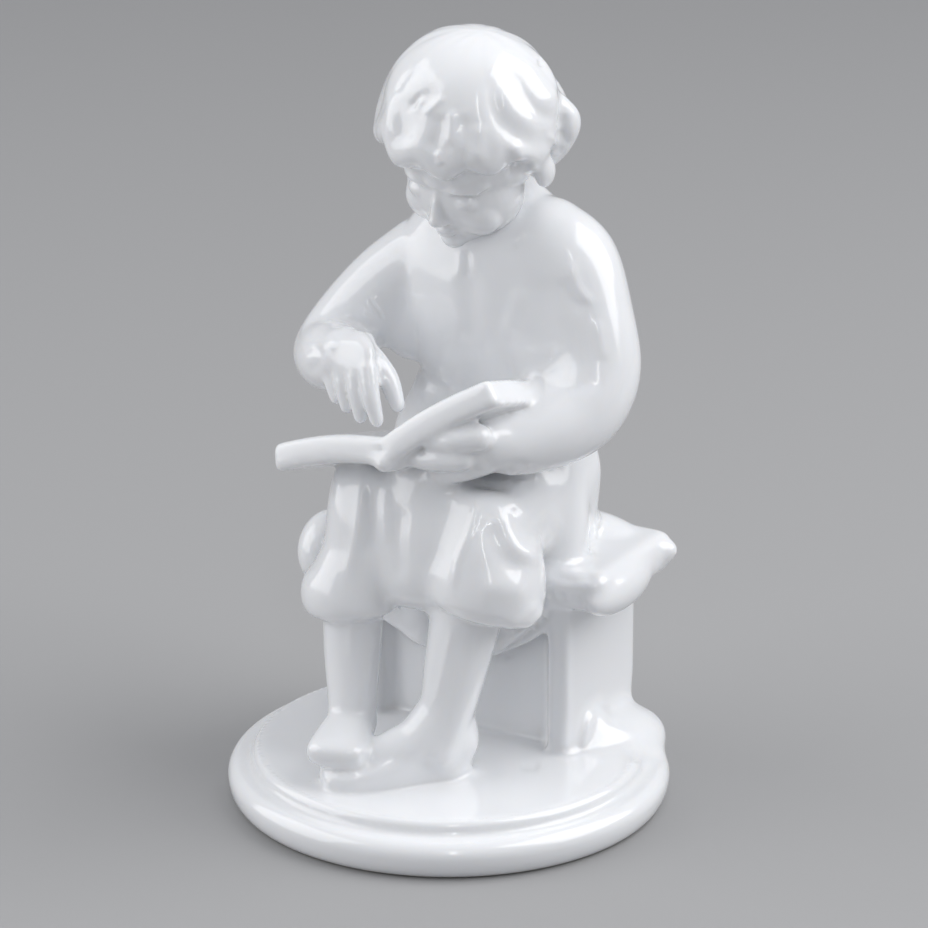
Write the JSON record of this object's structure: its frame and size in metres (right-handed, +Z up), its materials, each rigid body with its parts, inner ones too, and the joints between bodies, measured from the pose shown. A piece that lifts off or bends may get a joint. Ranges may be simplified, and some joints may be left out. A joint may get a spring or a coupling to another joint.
{
  "type": "porcelain reading child figurine",
  "caption": "White glazed porcelain figurine of a child sitting on a low draped bench and reading an open book, on a round stepped base.",
  "frame": {"origin": "centre of the underside of the round base", "axes": "+Z up; the child faces -Y and has its own left hand at +X; the bench runs along X"},
  "size_m": [0.0876, 0.0876, 0.1543],
  "materials": {
    "white_glaze": "thick clear glaze over white porcelain, high gloss"
  },
  "bodies": {
    "root": {"figurine": "white_glaze"}
  },
  "joints": []
}
